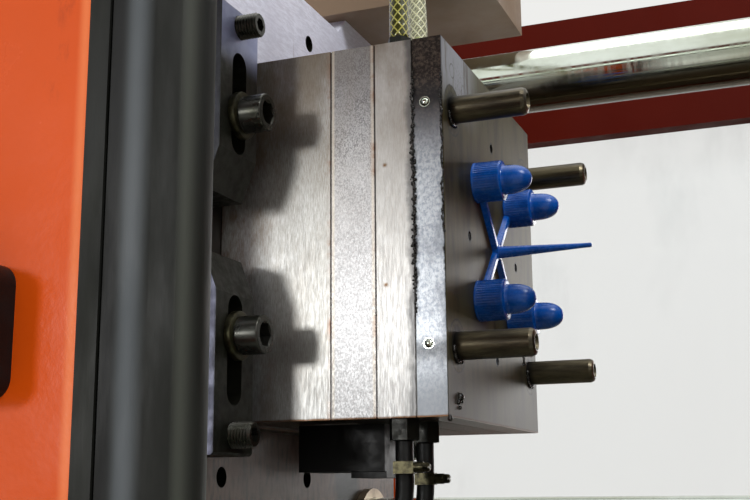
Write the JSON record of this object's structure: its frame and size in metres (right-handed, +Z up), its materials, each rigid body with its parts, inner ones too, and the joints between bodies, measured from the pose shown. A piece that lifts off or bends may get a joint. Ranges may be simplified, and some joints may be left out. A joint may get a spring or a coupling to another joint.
{
  "type": "injection moulding machine",
  "caption": "Horizontal hydraulic injection moulding machine with an open stripper-plate mould, moulded blue caps, sliding guard doors and a hopper.",
  "frame": {"origin": "on the floor under the middle of the bed", "axes": "+X along the machine from the clamp end to the hopper end, +Y away from the operator, +Z up"},
  "size_m": [3.8, 1.2, 1.877],
  "materials": {
    "orange_paint": "satin orange enamel",
    "header_paint": "satin red-orange enamel",
    "grey_paint": "satin light grey enamel",
    "beige_paint": "satin grey-beige enamel",
    "machine_steel": "ground and oiled",
    "mould_steel": "ground, with rust stains at the joints",
    "support_steel": "ground, speckled grey",
    "stripper_steel": "dark and mottled",
    "tie_bar_chrome": "polished hard chrome",
    "guide_steel": "dark bronze-brown, greased",
    "black_oxide": "black oxide, oily",
    "bushing_bronze": "turned bronze",
    "blue_plastic": "moulded royal blue",
    "cylinder_paint": "dark grey enamel",
    "black_fitting": "blackened steel",
    "clip_zinc": "yellow zinc plating",
    "braided_hose": "clear hose with a yellow-green braid",
    "pale_braided_hose": "clear hose with a pale braid",
    "black_rubber": "black rubber",
    "black_plastic": "moulded black",
    "panel_grey": "moulded dark grey",
    "window_glazing": "clear polycarbonate",
    "heater_steel": "heat-tinted sheet steel",
    "hopper_steel": "bright sheet steel",
    "red_plastic": "moulded red"
  },
  "bodies": {
    "base": {"bed_frame": "grey_paint", "levelling_pads": "black_fitting", "bed_panels": "grey_paint", "stationary_platen": "machine_steel", "cylinder_platen": "machine_steel", "tie_bars": "tie_bar_chrome", "tie_bar_nuts": "machine_steel", "clamp_cylinder": "cylinder_paint", "fixed_guards": "orange_paint", "guard_window": "window_glazing", "guard_headers": "header_paint", "carriage_rails": "machine_steel", "control_panel": "panel_grey", "cavity_plate": "mould_steel", "front_clamp_plate": "mould_steel", "sprue_bushing": "black_oxide", "fixed_clamps": "black_oxide"},
    "moving_unit": {"moving_platen": "machine_steel", "platen_bushings": "bushing_bronze", "clamp_ram": "tie_bar_chrome", "ejector_cylinder": "cylinder_paint", "rear_clamp_plate": "mould_steel", "spacer_blocks": "mould_steel", "support_plate": "support_steel", "core_plate": "mould_steel", "core_pins": "mould_steel", "guide_pins": "guide_steel", "mould_clamps": "black_oxide", "clamp_screws": "black_oxide", "hose_fittings": "black_fitting", "hose_clamps": "clip_zinc", "upper_hose_a": "braided_hose", "upper_hose_b": "pale_braided_hose", "lower_hose_a": "black_rubber", "lower_hose_b": "black_rubber", "hose_manifolds": "beige_paint", "switch_block": "black_plastic"},
    "ejector_unit": {"stripper_plate": "stripper_steel", "stripper_bushings": "stripper_steel", "push_rods": "mould_steel", "ejector_retainer_plate": "mould_steel", "ejector_base_plate": "mould_steel", "moulded_shot": "blue_plastic"},
    "front_door": {"operator_door": "orange_paint", "door_window": "window_glazing", "door_seal": "black_rubber", "door_handle": "black_plastic"},
    "back_door": {"rear_door": "orange_paint", "rear_window": "window_glazing"},
    "carriage": {"injection_housing": "grey_paint", "barrel": "heater_steel", "heater_bands": "heater_steel", "nozzle": "heater_steel", "hopper": "hopper_steel", "hydraulic_cylinders": "cylinder_paint"},
    "hopper_cover": {"hopper_lid": "black_plastic"},
    "screw_drive": {"drive_plate": "cylinder_paint"},
    "plasticising_screw": {"screw": "tie_bar_chrome"},
    "stop_button": {"e_stop": "red_plastic"},
    "switch_knob": {"main_switch": "red_plastic"}
  },
  "joints": [
    {"name": "platen_slide", "type": "slide", "parent": "base", "child": "moving_unit", "axis": [-1, 0, 0], "range_m": [-0.3, 0]},
    {"name": "ejector_slide", "type": "slide", "parent": "moving_unit", "child": "ejector_unit", "axis": [1, 0, 0], "range_m": [0, 0.045]},
    {"name": "operator_door_slide", "type": "slide", "parent": "base", "child": "front_door", "axis": [1, 0, 0], "range_m": [0, 0.6]},
    {"name": "rear_door_slide", "type": "slide", "parent": "base", "child": "back_door", "axis": [-1, 0, 0], "range_m": [0, 0.6]},
    {"name": "carriage_slide", "type": "slide", "parent": "base", "child": "carriage", "axis": [1, 0, 0], "range_m": [0, 0.2]},
    {"name": "hopper_lid_hinge", "type": "hinge", "parent": "carriage", "child": "hopper_cover", "pos_m": [0.99, 0.196, 1.868], "axis": [-1, 0, 0], "range_deg": [0, 105]},
    {"name": "injection_slide", "type": "slide", "parent": "carriage", "child": "screw_drive", "axis": [1, 0, 0], "range_m": [0, 0.15]},
    {"name": "screw_spin", "type": "hinge", "parent": "screw_drive", "child": "plasticising_screw", "pos_m": [0.8, 0, 1.2], "axis": [1, 0, 0], "continuous": true},
    {"name": "e_stop_press", "type": "slide", "parent": "base", "child": "stop_button", "axis": [0, 1, 0], "range_m": [0, 0.004], "stiffness_N_per_m": 600},
    {"name": "main_switch_turn", "type": "hinge", "parent": "base", "child": "switch_knob", "pos_m": [0.7, -0.59, 0.56], "axis": [0, 1, 0], "range_deg": [0, 90]}
  ]
}
